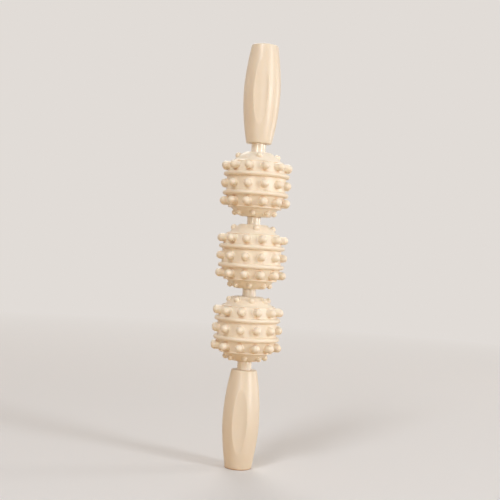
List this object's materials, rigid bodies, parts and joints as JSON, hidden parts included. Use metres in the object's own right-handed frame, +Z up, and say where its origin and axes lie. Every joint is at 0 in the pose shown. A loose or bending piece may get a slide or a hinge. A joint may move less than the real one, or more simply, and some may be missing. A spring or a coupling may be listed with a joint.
{
  "type": "massage roller stick",
  "caption": "Hand-held massage roller stick: a rigid rod with a fluted grip handle at each end and studded balls that spin freely between them.",
  "frame": {"origin": "centre of the lower handle's flat end face, on the surface that the stick stands on", "axes": "+Z up along the rod to the upper handle; -Y is the front, where one flute of each handle faces; +X is to the right seen from the front"},
  "size_m": [0.0678, 0.0678, 0.4],
  "materials": {
    "handle_plastic": "satin ivory, injection moulded",
    "end_cap_plastic": "satin ivory, injection moulded",
    "shaft_plastic": "smooth semi-gloss ivory",
    "sleeve_rubber": "satin ivory thermoplastic rubber",
    "ball_cap_plastic": "satin ivory, injection moulded",
    "core_plastic": "as moulded, hidden",
    "bush_plastic": "smooth acetal",
    "rod_steel": "drawn steel bar",
    "screw_steel": "zinc-plated steel"
  },
  "bodies": {
    "stick": {"core_rod": "rod_steel", "lower_handle": "handle_plastic", "upper_handle": "handle_plastic", "lower_end_cap": "end_cap_plastic", "upper_end_cap": "end_cap_plastic", "lower_rod_screw": "screw_steel", "upper_rod_screw": "screw_steel", "lower_washer": "screw_steel", "upper_washer": "screw_steel", "lower_collar": "shaft_plastic", "upper_collar": "shaft_plastic", "lower_spacer": "shaft_plastic", "upper_spacer": "shaft_plastic"},
    "lower_ball": {"lower_ball_sleeve": "sleeve_rubber", "lower_ball_core": "core_plastic", "lower_ball_lower_cap": "ball_cap_plastic", "lower_ball_upper_cap": "ball_cap_plastic", "lower_ball_lower_bush": "bush_plastic", "lower_ball_upper_bush": "bush_plastic"},
    "middle_ball": {"middle_ball_sleeve": "sleeve_rubber", "middle_ball_core": "core_plastic", "middle_ball_lower_cap": "ball_cap_plastic", "middle_ball_upper_cap": "ball_cap_plastic", "middle_ball_lower_bush": "bush_plastic", "middle_ball_upper_bush": "bush_plastic"},
    "upper_ball": {"upper_ball_sleeve": "sleeve_rubber", "upper_ball_core": "core_plastic", "upper_ball_lower_cap": "ball_cap_plastic", "upper_ball_upper_cap": "ball_cap_plastic", "upper_ball_lower_bush": "bush_plastic", "upper_ball_upper_bush": "bush_plastic"}
  },
  "joints": [
    {"name": "lower_ball_spin", "type": "hinge", "parent": "stick", "child": "lower_ball", "pos_m": [0, 0, 0.132], "axis": [0, 0, 1], "continuous": true},
    {"name": "middle_ball_spin", "type": "hinge", "parent": "stick", "child": "middle_ball", "pos_m": [0, 0, 0.2], "axis": [0, 0, 1], "continuous": true},
    {"name": "upper_ball_spin", "type": "hinge", "parent": "stick", "child": "upper_ball", "pos_m": [0, 0, 0.268], "axis": [0, 0, 1], "continuous": true}
  ]
}
